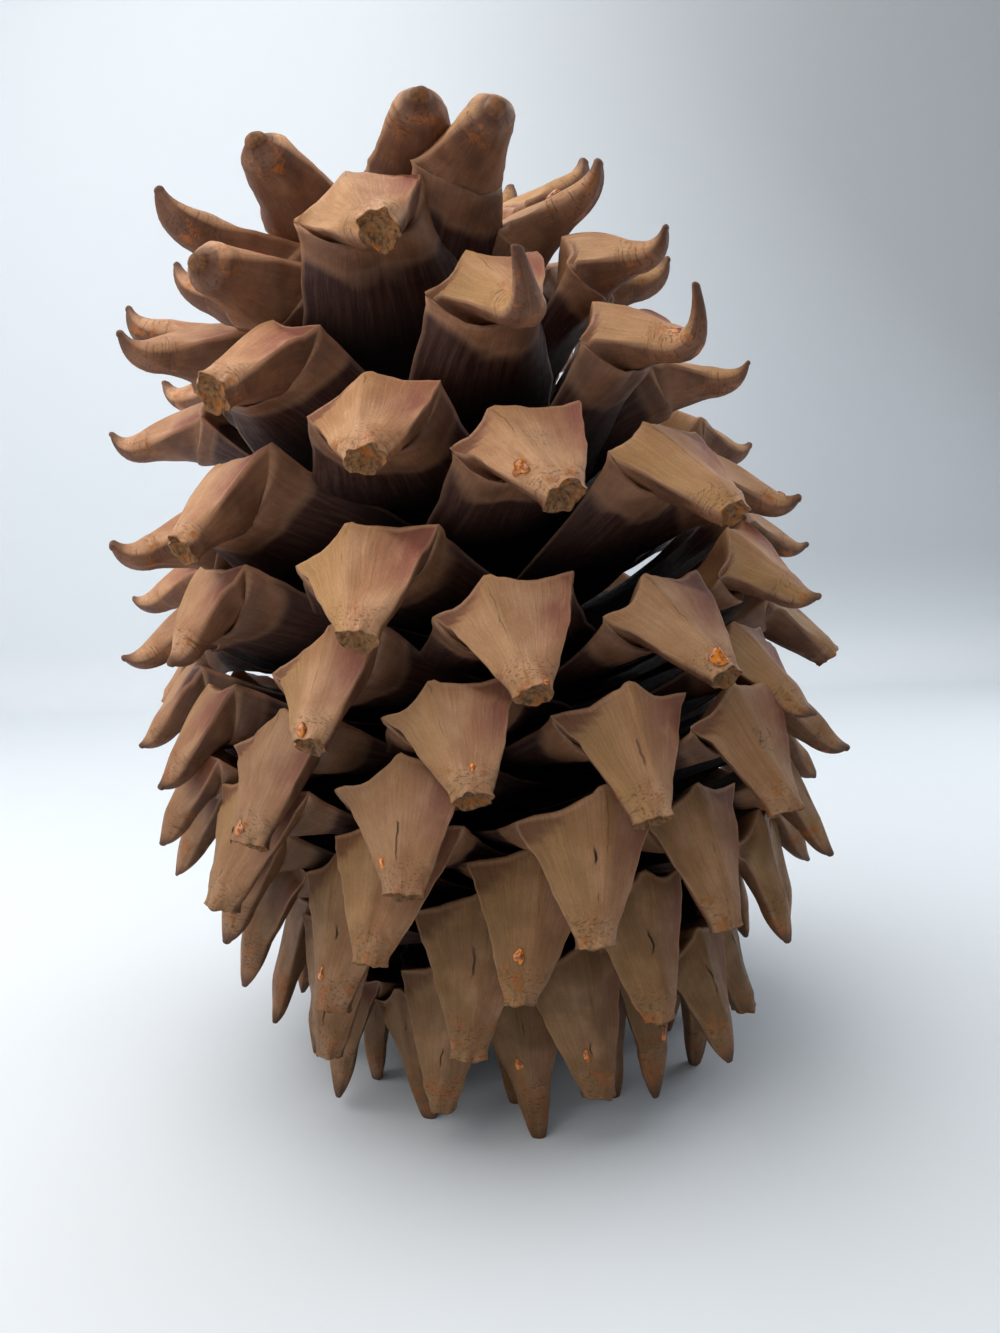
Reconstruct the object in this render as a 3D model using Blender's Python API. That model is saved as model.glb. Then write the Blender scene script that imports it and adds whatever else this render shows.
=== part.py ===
"""A large open pine cone standing on its base spurs. Metres, +Z up, origin on the ground under the base."""
import math

import bmesh
import bpy
import numpy as np
from mathutils import Vector

SEED = 41

# Spiral rule: one scale each turn of the divergence angle, numbered from the tip (negative) to the base.
DIVERGENCE_DEG = 137.726
FIRST_AZIMUTH_DEG = 7.0
UPPER_DRIFT_DEG = -2.6
LOWER_DRIFT_DEG = 0.73
DRIFT_ORDERS = 1000.0
FIRST_ORDER = -56
LAST_ORDER = 94

# Shape along the cone, at these scale orders.
ORDER_MARKS = (-66, -50, -34, -20, 0, 30, 60, 81, 100)
TIP_HEIGHT = (0.232, 0.2055, 0.1775, 0.1380, 0.0990, 0.0595, 0.0260, -0.0015, -0.0015)
TIP_RADIUS = (0.022, 0.0535, 0.0700, 0.0805, 0.0855, 0.0865, 0.0710, 0.0545, 0.032)
ROOT_HEIGHT = (0.190, 0.175, 0.153, 0.127, 0.099, 0.068, 0.046, 0.032, 0.022)
FACE_ANGLE_DEG = (64, 22, -9, -28, -47, -62, -74, -84, -96)
FACE_LENGTH = (0.024, 0.024, 0.023, 0.0235, 0.0245, 0.026, 0.031, 0.033, 0.022)
HALF_WIDTH = (0.0100, 0.0122, 0.0132, 0.0141, 0.0143, 0.0143, 0.0130, 0.0105, 0.0070)
CREST_RISE = (0.0046, 0.0046, 0.0046, 0.0042, 0.0034, 0.0028, 0.0026, 0.0024, 0.0024)
KEEL_DEPTH = (0.0085, 0.0105, 0.0115, 0.0115, 0.0105, 0.0090, 0.0080, 0.0070, 0.0060)
CLAW_HALF_WIDTH = (0.0054, 0.0054, 0.0050, 0.0046, 0.0044, 0.0042, 0.0040, 0.0036, 0.0030)

# One scale.
BLADE_THICKNESS = 0.0028
BLADE_PLACE = 0.55
BLADE_SAG = 0.10
CREST_TURN = 0.45
HOOKED_CLAW_START = 0.62
HOOKED_CLAW_WIDENING = 1.25
HOOKED_END_SHARE = 0.3
HOOK_RISE = 0.0055
WORN_CLAW_START = 0.82
WORN_END_SHARE = 0.84
WORN_SHORTENING = 0.04
CLAW_FLATNESS = 0.85
WORN_ARC_DEG = 44.0
WORN_SHARE = 0.15
STANDING_ORDER = 74
ROOT_SINK = 0.5

# Station outlines: share of the half width, then of the rise (above zero) or depth (below).
DIAMOND = ((0.0, 1.0), (1.0, 0.0), (0.0, -1.0), (-1.0, 0.0))
KEELED = ((0.0, 1.0), (1.0, 0.0), (0.5, -0.8), (0.0, -1.0), (-0.5, -0.8), (-1.0, 0.0))
EDGE = ((1.0, 0.0), (-1.0, 0.0))
ROOT_NARROWING = 0.75
BLADE_NARROWING = 0.95
SHOULDER_PLACE = 0.62
SHOULDER_SHARE = 0.5

# The woody axis that carries the scales.
AXIS_RADIUS = 0.0240
AXIS_TIP_RADIUS = 0.0080
AXIS_BOTTOM = 0.016
AXIS_TOP = 0.176
AXIS_SIDES = 10
AXIS_STATIONS = 8

# The upper half bends to one side, and its rings of scales tilt with it.
BEND_START = 0.046
BEND_END = 0.127
BEND_SLOPE = 0.27
TOP_SLOPE = 0.24
FRONT_LIFT = 0.09
RING_TILT_RATE = 4.0
RING_TILT_MOST = 0.27
ROOT_TILT_SHARE = 0.5
SIDE_LIFT_DEG = 9.0

# Natural variation.
ANGLE_SPREAD_DEG = 4.0
ROLL_SPREAD_DEG = 5.0
AZIMUTH_SPREAD_DEG = 0.9
SIZE_SPREAD = 0.05
SPREAD_MOST = 1.5

# Scales out of line: order, then the turn to the right in degrees, the lift of the tip, the rise of the hook
# and the tilt of the face in degrees.
UNUSUAL = {
    -55: (-6.0, 0.002, 0.0, 0.0),
    -52: (0.0, -0.010, 0.0, 0.0),
    -50: (0.0, 0.003, 0.0, 0.0),
    -47: (9.0, 0.008, 0.0, 0.0),
    -44: (0.0, -0.005, 0.0, 0.0),
    -42: (-8.0, 0.0, 0.0, 0.0),
    -39: (-4.0, 0.014, 0.0, 0.0),
    -36: (0.0, -0.009, 0.0, 0.0),
    -34: (2.0, 0.003, 0.0, -24.0),
    -32: (0.0, 0.0, 0.006, 0.0),
    -29: (2.0, 0.0, 0.0, -14.0),
    -26: (-4.0, 0.001, 0.014, -20.0),
    -24: (0.0, -0.007, 0.0, 0.0),
    -23: (0.0, -0.004, 0.0, 0.0),
    -21: (0.0, 0.0, 0.0, -14.0),
    -18: (-5.0, 0.011, 0.013, -6.0),
    -16: (0.0, 0.008, 0.0, -5.0),
    -13: (0.0, 0.0, 0.0, -12.0),
    -10: (2.0, -0.009, 0.004, 0.0),
    -8: (2.0, -0.004, 0.0, -6.0),
    -5: (0.0, 0.006, 0.0, 0.0),
    -3: (0.0, 0.010, 0.0, 0.0),
    0: (0.0, -0.005, 0.0, -4.0),
    5: (3.0, 0.002, 0.0, 0.0),
    8: (4.0, 0.002, 0.0, 0.0),
    13: (0.0, -0.002, 0.0, 0.0),
    29: (0.0, 0.008, 0.0, 0.0),
    34: (1.0, -0.003, 0.0, 0.0),
    42: (1.0, 0.004, 0.0, 0.0),
    63: (-1.0, -0.010, 0.0, 0.0),
    68: (2.0, -0.003, 0.0, 0.0),
    76: (-6.0, 0.0, 0.0, 0.0),
    81: (-3.0, 0.0, 0.0, 0.0),
}

GROUND_CUT_DEPTH = 0.05
GROUND_CUT_WIDTH = 0.30


def clear_scene():
    for item in list(bpy.data.objects):
        bpy.data.objects.remove(item, do_unlink=True)


def wood_material():
    material = bpy.data.materials.new("cone_wood")
    material.use_nodes = True
    shader = material.node_tree.nodes["Principled BSDF"]
    shader.inputs["Base Color"].default_value = (0.36, 0.22, 0.13, 1.0)
    shader.inputs["Roughness"].default_value = 0.62
    return material


def along(order, values):
    return float(np.interp(order, ORDER_MARKS, values))


def axis_point(height):
    bent = min(max(height - BEND_START, 0.0), BEND_END - BEND_START)
    straight = max(height - BEND_END, 0.0)
    shift = BEND_SLOPE * bent * bent / (2.0 * (BEND_END - BEND_START)) + TOP_SLOPE * straight
    return Vector((-shift, 0.0, height))


def ring_tilt(height):
    return min(max(RING_TILT_RATE * (height - BEND_START), 0.0), RING_TILT_MOST)


def worn_claw(azimuth, draw):
    facing = abs((math.degrees(azimuth) + 180.0) % 360.0 - 180.0)
    return draw.random() < WORN_SHARE or facing < WORN_ARC_DEG


class Scale:
    """Where one scale grows, which way it faces and how large it is."""

    def __init__(self, order, draw):
        self.order = order
        drift = LOWER_DRIFT_DEG if order > 0 else UPPER_DRIFT_DEG
        azimuth = FIRST_AZIMUTH_DEG + order * DIVERGENCE_DEG + drift * order**2 / DRIFT_ORDERS
        azimuth += draw.normal() * AZIMUTH_SPREAD_DEG
        turn, lifted, self.hook, tilted = UNUSUAL.get(order, (0.0, 0.0, 0.0, 0.0))
        self.azimuth = math.radians(azimuth + turn)
        self.out = Vector((math.sin(self.azimuth), -math.cos(self.azimuth), 0.0))
        self.side = Vector((math.cos(self.azimuth), math.sin(self.azimuth), 0.0))
        self.up = Vector((0.0, 0.0, 1.0))
        size = 1.0 + SIZE_SPREAD * float(np.clip(draw.normal(), -SPREAD_MOST, SPREAD_MOST))
        height = along(order, TIP_HEIGHT)
        tilt = ring_tilt(height)
        self.tip = axis_point(height) + self.out * along(order, TIP_RADIUS)
        self.tip.z += tilt * (self.tip.x - axis_point(height).x)
        self.tip.z -= FRONT_LIFT * tilt / RING_TILT_MOST * self.tip.y
        self.tip.z += lifted
        self.root = axis_point(along(order, ROOT_HEIGHT))
        self.root.z += ROOT_TILT_SHARE * tilt * AXIS_RADIUS * self.out.x
        lift = SIDE_LIFT_DEG * tilt / RING_TILT_MOST * self.out.x
        angle = along(order, FACE_ANGLE_DEG) + lift + draw.normal() * ANGLE_SPREAD_DEG
        self.face_angle = math.radians(angle + tilted)
        roll = math.degrees(math.atan(tilt)) * -self.out.y + draw.normal() * ROLL_SPREAD_DEG
        self.roll = math.radians(roll)
        self.half_width = along(order, HALF_WIDTH) * size
        self.rise = along(order, CREST_RISE)
        self.depth = along(order, KEEL_DEPTH)
        self.face_length = along(order, FACE_LENGTH) * size
        self.worn = worn_claw(self.azimuth, draw) and order < STANDING_ORDER and not self.hook
        self.claw_half_width = along(order, CLAW_HALF_WIDTH) * (1.0 if self.worn else HOOKED_CLAW_WIDENING)
        self.up = self.up * math.cos(self.roll) - self.side * math.sin(self.roll)

    def path(self):
        """Centre points from the root to the claw tip: root, blade, crest, claw base, claw tip."""
        along_face = self.out * math.cos(self.face_angle) + self.up * math.sin(self.face_angle)
        crest = self.tip - along_face * self.face_length
        start = WORN_CLAW_START if self.worn else HOOKED_CLAW_START
        base = self.tip - along_face * self.face_length * (1.0 - start)
        root = self.root + self.out * AXIS_RADIUS * ROOT_SINK
        blade = root.lerp(crest, BLADE_PLACE) - self.up * BLADE_SAG * (crest - root).length
        tip = self.tip.copy()
        if self.worn:
            tip -= along_face * self.face_length * WORN_SHORTENING
        else:
            tip += self.up * max(self.hook, HOOK_RISE * math.cos(self.face_angle))
        return [root, blade, crest, base, tip]

    def place(self, centre, tangent, places, half_width, rise, depth):
        """Points round a station, each given as a share of the half width and of the rise or depth."""
        normal = tangent.cross(self.side).normalized()
        side = self.side * math.cos(self.roll) + normal * math.sin(self.roll)
        normal = normal * math.cos(self.roll) - self.side * math.sin(self.roll)
        points = []
        for across, lift in places:
            high = lift * (rise if lift >= 0.0 else depth)
            points.append(centre + side * across * half_width + normal * high)
        return points

    def mesh(self):
        root, blade, crest, base, tip = self.path()
        flow_in = (crest - blade).normalized()
        flow_out = (base - crest).normalized()
        turn = flow_in.lerp(flow_out, CREST_TURN).normalized()
        wide = self.half_width
        claw = self.claw_half_width
        root_flow = (blade - root).normalized()
        shoulder = blade.lerp(crest, SHOULDER_PLACE)
        share = SHOULDER_SHARE
        rings = [
            self.place(root, root_flow, DIAMOND, wide * ROOT_NARROWING, BLADE_THICKNESS, BLADE_THICKNESS),
            self.place(blade, flow_in, DIAMOND, wide * BLADE_NARROWING, BLADE_THICKNESS, BLADE_THICKNESS),
            self.place(shoulder, flow_in, DIAMOND, wide, self.rise * share, self.depth * share),
            self.place(crest, turn, KEELED, wide, self.rise, self.depth),
            self.place(base, flow_out, KEELED, claw, claw * CLAW_FLATNESS, claw),
        ]
        flow_claw = (tip - base).normalized()
        if self.worn:
            blunt = claw * WORN_END_SHARE
            end = self.place(tip, flow_claw, DIAMOND, blunt, blunt * CLAW_FLATNESS, blunt)
        else:
            end = self.place(tip, flow_claw, EDGE, claw * HOOKED_END_SHARE, 0.0, 0.0)
        return loft(rings, end)


def bridge(made, lower, upper):
    """Triangles between two closed loops that may differ in their number of points."""
    low, high = 0, 0
    while low < len(lower) or high < len(upper):
        here = lower[low % len(lower)]
        there = upper[high % len(upper)]
        if (low + 1) / len(lower) <= (high + 1) / len(upper):
            low += 1
            made.faces.new((here, lower[low % len(lower)], there))
        else:
            high += 1
            made.faces.new((here, upper[high % len(upper)], there))


def loft(rings, end):
    """A closed mesh through the rings, flat at the first one and closed on the end edge."""
    made = bmesh.new()
    loops = [[made.verts.new(point) for point in ring] for ring in rings + [end]]
    for lower, upper in zip(loops, loops[1:]):
        bridge(made, lower, upper)
    made.faces.new(tuple(reversed(loops[0])))
    if len(end) > 2:
        made.faces.new(tuple(loops[-1]))
    bmesh.ops.triangulate(made, faces=made.faces)
    bmesh.ops.recalc_face_normals(made, faces=made.faces)
    return made


def as_object(made, name, collection):
    mesh = bpy.data.meshes.new(name)
    made.to_mesh(mesh)
    made.free()
    item = bpy.data.objects.new(name, mesh)
    collection.objects.link(item)
    return item


def axis_mesh():
    """The central axis as a bent, tapering spindle."""
    rings = []
    for k in range(AXIS_STATIONS):
        part = k / (AXIS_STATIONS - 1)
        centre = axis_point(AXIS_BOTTOM + part * (AXIS_TOP - AXIS_BOTTOM))
        radius = AXIS_RADIUS + (AXIS_TIP_RADIUS - AXIS_RADIUS) * part**2
        turns = [2.0 * math.pi * i / AXIS_SIDES for i in range(AXIS_SIDES)]
        rings.append([centre + Vector((math.cos(a), math.sin(a), 0.0)) * radius for a in turns])
    return loft(rings[:-1], rings[-1])


def apply_boolean(item, operation, **operand):
    cut = item.modifiers.new("join", "BOOLEAN")
    cut.operation = operation
    cut.solver = "MANIFOLD"
    for key, value in operand.items():
        setattr(cut, key, value)
    bpy.context.view_layer.update()
    graph = bpy.context.evaluated_depsgraph_get()
    mesh = bpy.data.meshes.new_from_object(item.evaluated_get(graph))
    item.modifiers.clear()
    item.data = mesh


def fill_pockets(item):
    """Drops closed inner shells, the pockets enclosed between crowded scale roots."""
    made = bmesh.new()
    made.from_mesh(item.data)
    left = set(made.verts)
    shells = []
    while left:
        stack = [left.pop()]
        shell = set(stack)
        while stack:
            for edge in stack.pop().link_edges:
                for near in edge.verts:
                    if near in left:
                        left.discard(near)
                        shell.add(near)
                        stack.append(near)
        shells.append(shell)
    outer = max(shells, key=len)
    inner = [vert for vert in made.verts if vert not in outer]
    bmesh.ops.delete(made, geom=inner, context="VERTS")
    made.to_mesh(item.data)
    made.free()


def centre_over_origin(item):
    """Moves the mesh level, so that the middle of its bounding box is over the origin."""
    mesh = item.data
    for axis in (0, 1):
        places = [vert.co[axis] for vert in mesh.vertices]
        middle = (min(places) + max(places)) / 2.0
        for vert in mesh.vertices:
            vert.co[axis] -= middle


def ground_block(collection):
    """Everything below the ground plane, which trims the lowest claws flat."""
    made = bmesh.new()
    bmesh.ops.create_cube(made, size=1.0)
    bmesh.ops.scale(made, vec=(GROUND_CUT_WIDTH, GROUND_CUT_WIDTH, GROUND_CUT_DEPTH), verts=made.verts)
    bmesh.ops.translate(made, vec=(0.0, 0.0, -GROUND_CUT_DEPTH / 2.0), verts=made.verts)
    return as_object(made, "ground_block", collection)


def grow_cone(collection):
    draw = np.random.default_rng(SEED)
    cone = as_object(axis_mesh(), "pine_cone", collection)
    growing = bpy.data.collections.new("growing")
    bpy.context.scene.collection.children.link(growing)
    for order in range(FIRST_ORDER, LAST_ORDER + 1):
        as_object(Scale(order, draw).mesh(), "scale", growing)
    apply_boolean(cone, "UNION", operand_type="COLLECTION", collection=growing)
    for item in list(growing.objects):
        bpy.data.objects.remove(item, do_unlink=True)
    bpy.data.collections.remove(growing)
    block = ground_block(collection)
    apply_boolean(cone, "DIFFERENCE", object=block)
    bpy.data.objects.remove(block, do_unlink=True)
    fill_pockets(cone)
    centre_over_origin(cone)
    cone.data.materials.clear()
    cone.data.materials.append(wood_material())
    return cone


def main():
    clear_scene()
    collection = bpy.data.collections.new("pine_cone_object")
    bpy.context.scene.collection.children.link(collection)
    grow_cone(collection)


main()
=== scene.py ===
"""The looks of a large open pine cone on its base spurs: fine scales, claws, resin, floor and light."""

import math

import bmesh
import bpy
import numpy as np
from mathutils import Matrix, Vector


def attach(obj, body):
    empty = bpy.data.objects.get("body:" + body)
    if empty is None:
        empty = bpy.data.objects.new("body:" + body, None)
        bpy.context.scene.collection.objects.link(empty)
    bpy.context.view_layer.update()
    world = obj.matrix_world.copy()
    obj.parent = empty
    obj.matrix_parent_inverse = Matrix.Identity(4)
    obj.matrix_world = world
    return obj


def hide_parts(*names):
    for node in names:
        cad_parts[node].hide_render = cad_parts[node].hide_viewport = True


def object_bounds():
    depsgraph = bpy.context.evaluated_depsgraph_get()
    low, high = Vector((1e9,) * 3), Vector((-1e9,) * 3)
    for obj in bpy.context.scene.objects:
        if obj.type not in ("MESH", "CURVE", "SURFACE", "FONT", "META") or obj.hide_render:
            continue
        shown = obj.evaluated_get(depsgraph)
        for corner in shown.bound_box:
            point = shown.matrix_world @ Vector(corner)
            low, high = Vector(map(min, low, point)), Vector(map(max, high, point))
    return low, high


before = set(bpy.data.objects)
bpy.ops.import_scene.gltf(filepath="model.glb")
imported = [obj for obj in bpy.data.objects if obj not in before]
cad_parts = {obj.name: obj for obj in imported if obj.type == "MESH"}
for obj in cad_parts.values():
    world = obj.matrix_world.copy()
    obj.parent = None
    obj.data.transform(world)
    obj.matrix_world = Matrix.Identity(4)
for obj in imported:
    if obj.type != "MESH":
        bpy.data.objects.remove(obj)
cad_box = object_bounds()

MM_PER_M = 1000.0
SEED = 41
DETAIL_SEED = 7

# Spiral rule: one scale each turn of the divergence angle, numbered from the tip (negative) to the base.
DIVERGENCE_DEG = 137.726
FIRST_AZIMUTH_DEG = 7.0
UPPER_DRIFT_DEG = -2.6
LOWER_DRIFT_DEG = 0.73
DRIFT_ORDERS = 1000.0
FIRST_ORDER = -56
LAST_ORDER = 94

# Shape along the cone, at these scale orders.
ORDER_MARKS = (-66, -50, -34, -20, 0, 30, 60, 81, 100)
TIP_HEIGHT = (0.232, 0.2055, 0.1775, 0.1380, 0.0990, 0.0595, 0.0260, -0.0015, -0.0015)
TIP_RADIUS = (0.022, 0.0535, 0.0700, 0.0805, 0.0855, 0.0865, 0.0710, 0.0545, 0.032)
ROOT_HEIGHT = (0.190, 0.175, 0.153, 0.127, 0.099, 0.068, 0.046, 0.032, 0.022)
FACE_ANGLE_DEG = (64, 22, -9, -28, -47, -62, -74, -84, -96)
FACE_LENGTH = (0.024, 0.024, 0.023, 0.0235, 0.0245, 0.026, 0.031, 0.033, 0.022)
HALF_WIDTH = (0.0100, 0.0122, 0.0132, 0.0141, 0.0143, 0.0143, 0.0130, 0.0105, 0.0070)
CREST_RISE = (0.0046, 0.0046, 0.0046, 0.0042, 0.0034, 0.0028, 0.0026, 0.0024, 0.0024)
KEEL_DEPTH = (0.0085, 0.0105, 0.0115, 0.0115, 0.0105, 0.0090, 0.0080, 0.0070, 0.0060)
CLAW_HALF_WIDTH = (0.0054, 0.0054, 0.0050, 0.0046, 0.0044, 0.0042, 0.0040, 0.0036, 0.0030)

# One scale.
BLADE_PLACE = 0.55
BLADE_SAG = 0.10
HOOKED_CLAW_START = 0.62
HOOKED_CLAW_WIDENING = 1.25
HOOK_RISE = 0.0055
WORN_CLAW_START = 0.82
WORN_SHORTENING = 0.04
CLAW_FLATNESS = 0.85
WORN_ARC_DEG = 44.0
WORN_SHARE = 0.15
STANDING_ORDER = 74
ROOT_SINK = 0.5

# The woody axis that carries the scales. Scales grow from AXIS_RADIUS, and the visible bark is stouter.
AXIS_RADIUS = 0.0240
AXIS_BOTTOM = 0.016
BARK_TOP = 0.197
BARK_RADIUS = 0.034
BARK_TIP_RADIUS = 0.0125
BARK_SIDES = 40
BARK_STATIONS = 48
BARK_ROUGHNESS = 0.0003
BARK_DOME_SHARE = 0.14
BARK_FOOT_SHARE = 0.08
BARK_FOOT_NARROWING = 0.6

# The upper half bends to one side, and its rings of scales tilt with it.
BEND_START = 0.046
BEND_END = 0.127
BEND_SLOPE = 0.27
TOP_SLOPE = 0.24
FRONT_LIFT = 0.09
RING_TILT_RATE = 4.0
RING_TILT_MOST = 0.27
ROOT_TILT_SHARE = 0.5
SIDE_LIFT_DEG = 9.0

# Natural variation.
ANGLE_SPREAD_DEG = 4.0
ROLL_SPREAD_DEG = 5.0
AZIMUTH_SPREAD_DEG = 0.9
SIZE_SPREAD = 0.05
SPREAD_MOST = 1.5

# Scales out of line: order, then the turn to the right in degrees, the lift of the tip, the rise of the hook
# and the tilt of the face in degrees.
UNUSUAL = {
    -55: (-6.0, 0.002, 0.0, 0.0),
    -52: (0.0, -0.010, 0.0, 0.0),
    -50: (0.0, 0.003, 0.0, 0.0),
    -47: (9.0, 0.008, 0.0, 0.0),
    -44: (0.0, -0.005, 0.0, 0.0),
    -42: (-8.0, 0.0, 0.0, 0.0),
    -39: (-4.0, 0.014, 0.0, 0.0),
    -36: (0.0, -0.009, 0.0, 0.0),
    -34: (2.0, 0.003, 0.0, -24.0),
    -32: (0.0, 0.0, 0.006, 0.0),
    -29: (2.0, 0.0, 0.0, -14.0),
    -26: (-4.0, 0.001, 0.014, -20.0),
    -24: (0.0, -0.007, 0.0, 0.0),
    -23: (0.0, -0.004, 0.0, 0.0),
    -21: (0.0, 0.0, 0.0, -14.0),
    -18: (-5.0, 0.011, 0.013, -6.0),
    -16: (0.0, 0.008, 0.0, -5.0),
    -13: (0.0, 0.0, 0.0, -12.0),
    -10: (2.0, -0.009, 0.004, 0.0),
    -8: (2.0, -0.004, 0.0, -6.0),
    -5: (0.0, 0.006, 0.0, 0.0),
    -3: (0.0, 0.010, 0.0, 0.0),
    0: (0.0, -0.005, 0.0, -4.0),
    5: (3.0, 0.002, 0.0, 0.0),
    8: (4.0, 0.002, 0.0, 0.0),
    13: (0.0, -0.002, 0.0, 0.0),
    29: (0.0, 0.008, 0.0, 0.0),
    34: (1.0, -0.003, 0.0, 0.0),
    42: (1.0, 0.004, 0.0, 0.0),
    63: (-1.0, -0.010, 0.0, 0.0),
    68: (2.0, -0.003, 0.0, 0.0),
    76: (-6.0, 0.0, 0.0, 0.0),
    81: (-3.0, 0.0, 0.0, 0.0),
}

# From the axis's foot to the middle of the solid's box.
CENTRE_SHIFT = Vector((0.004455, 0.000496, 0.0))

# Camera: where it stands in the part's frame, its tilt, and its focal length in pixels of the image height.
CAMERA_PLACE = (0.00446, -0.26950, 0.1315)
CAMERA_PITCH_DEG = 7.1
CAMERA_ROLL_DEG = 2.0
FOCAL_PX = 1047.0
IMAGE_HEIGHT_PX = 1333.0
SENSOR_MM = 36.0

# Stations along a scale, as shares of its three stretches: blade, face and claw.
BLADE_STATIONS = (0.0, 0.13, 0.26, 0.39, 0.5, 0.6, 0.69, 0.77, 0.84, 0.89, 0.93, 0.965, 0.99)
FACE_STATIONS = (0.0, 0.016, 0.06, 0.13, 0.2, 0.28, 0.36, 0.45, 0.54, 0.63, 0.72, 0.81, 0.9)
CLAW_STATIONS = (0.0, 0.12, 0.24, 0.36, 0.48, 0.6, 0.72, 0.83, 0.92, 1.0)
# Rings that close a broken claw: share of the end's size, and how far the ring is pushed out.
CAP_RINGS = (
    (0.95, 0.00015),
    (0.84, -0.0001),
    (0.68, -0.0008),
    (0.48, -0.0013),
    (0.26, -0.0015),
    (0.05, -0.0015),
)
# Places round a station, as shares of the half width.
TOP_PLACES = (0.05, 0.12, 0.22, 0.34, 0.47, 0.6, 0.72, 0.83, 0.92, 0.975)
UNDER_PLACES = (0.95, 0.82, 0.66, 0.48, 0.3, 0.14)
# How far the turn of a station's plane is smoothed, and the weight that keeps each sum above zero.
TURN_REACH = 0.011
LEAST_WEIGHT = 1e-9

# Half width along the blade: shares of its length, then shares of the scale's half width.
BLADE_WIDENING = ((0.0, 0.3, 0.6, 0.8, 0.93, 1.0), (1.5, 1.6, 1.46, 1.16, 1.02, 1.0))
ROOT_RISE = 0.0022
BLADE_RISE = 0.0014
BLADE_DEPTH = 0.0028

# The claw's measures, as shares of its rule width, and the face's, drawn between two limits.
CLAW_WIDTH_RANGE = (1.08, 1.24)
CLAW_DEPTH_RANGE = (0.88, 1.02)
HOOK_WIDTH_SHARE = 0.78
HOOK_DEPTH_SHARE = 0.72
WORN_BEND_SHARE = 0.5
HOOK_BEND_SHARE = 0.75
PEAK_RANGE = (0.85, 1.2)
RIDGE_SHIFT = 0.28
HOLLOW_SIDES_RANGE = (0.82, 0.95)
FULL_SIDES_RANGE = (0.93, 1.06)
FULL_SIDES_ORDER = 4
PHASE_COUNT = 12
# How far apart the patterns of two scales can lie in the noise.
SEED_SPAN = 700.0

# How claws narrow to their ends, and the shares over which a face's section turns into a claw's.
ROUNDED_NARROWING = 0.58
BROKEN_NARROWING = 0.38
HOOK_END_SHARE = 0.24
CLAW_BLEND = (0.6, 1.05)

# Relief of a scale: swells, ribs, hollows, the folded corner and the crest's edge. Rates are per millimetre.
SWELL_RATES = (0.42, 0.23)
FINE_SWELL_RATES = (0.9, 0.35)
RIB_RATE = 1.9
EDGE_WOBBLE = ((0.018, 0.55), (0.012, 1.3))
WAVE_HEIGHT = 0.00026
TOP_RIB_HEIGHT = 0.00006
LOW_RIB_HEIGHT = 0.00014
HOLLOW_DEPTH = 0.0005
HOLLOW_ACROSS = (0.48, 0.2)
HOLLOW_ALONG = (-0.22, 0.16)
WORN_RING_HEIGHT = 0.00025
WORN_RING_ALONG = (0.86, 0.03)
FOLD_DEPTH = 0.0016
FOLD_START = 0.22
FOLD_SLOPE = 0.36
FOLD_SOFTNESS = 0.05
RIGHT_FOLD_SHARE = 0.3
SKEW_RANGE = (0.0008, 0.0026)
DIP_RANGE = (0.0006, 0.0018)
RIDGE_NOTCH = 0.0006
RIDGE_REACH = 0.1
BLADE_EDGE_REACH = 0.32
FACE_EDGE_REACH = 0.3

# Claw ends: waves that make the section ragged (height as a share, waves a turn), the share where they start,
# the ripple of a broken cup and the height of a rounded end.
RAGGED_WAVES = ((0.14, 2.0), (0.1, 5.0), (0.05, 9.0))
RAGGED_START = 1.3
UNBROKEN_RAGGED_SHARE = 0.2
CUP_SWELL = 0.00045
CUP_RIPPLE = 0.0002
DOME_SHARE = 0.8

# Worn claws of scales before this order are rounded, the later ones are broken off flat.
ROUNDED_ORDER = -38

# Scales with a scar on the face, and how strong it is.
SCARS = {11: 1.0, 29: 0.7, -13: 0.3}

# Pieces of the scene, with the first and last order of their scales.
GROUPS = {
    "scales_tip": (FIRST_ORDER, -30),
    "scales_upper": (-29, 10),
    "scales_middle": (11, 50),
    "scales_base": (51, LAST_ORDER),
}

# Drops of resin: scale order, share along it, place across it, radius in metres and how long it is drawn.
DROPS = (
    (-44, 1.0, -0.5, 0.0011, 1.3),
    (-18, 1.2, -0.3, 0.0009, 1.7),
    (-13, 0.84, -0.7, 0.0016, 1.15),
    (-10, 1.3, 0.4, 0.0009, 1.8),
    (0, 1.9, 0.6, 0.0007, 1.2),
    (5, 1.5, 0.1, 0.0012, 1.3),
    (8, 1.2, -0.4, 0.0014, 1.2),
    (13, 0.9, 0.4, 0.0006, 1.5),
    (18, 1.3, 0.0, 0.0010, 1.6),
    (26, 0.9, -0.6, 0.0007, 1.4),
    (47, 0.85, -0.3, 0.0008, 2.2),
    (52, 0.9, -0.4, 0.0008, 1.6),
    (68, 0.8, -0.2, 0.0007, 1.6),
    (76, 0.9, 0.2, 0.0009, 1.6),
    (81, 0.7, -0.3, 0.0009, 1.5),
)

# Shape of a drop: how round it is, how flat it lies and how far it stands off the wood.
DROP_SWELLS = ((0.24, 3.1), (0.2, 4.1), (0.1, 6.0))
DROP_FLATNESS = 0.5
DROP_STAND_OFF = 0.1

# Depth of each material's relief, in metres, and how strongly it shows.
WOOD_BUMP = (0.0002, 0.8)
RESIN_BUMP = (0.0002, 0.5)
BARK_BUMP = (0.001, 0.8)

# The backdrop: a floor, a cove and a wall, with painted shade that darkens the wall to the right.
FLOOR_REACH = 1.6
WALL_DISTANCE = 0.62
COVE_RADIUS = 0.05
COVE_STEPS = 10
WALL_HEIGHT = 1.5
WALL_DARKENING = 0.66
WALL_SHADE_RIGHT = (-0.12, 0.34)
WALL_SHADE_UP = (0.0, 0.12)
WALL_ROUGHNESS = 0.9

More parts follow.
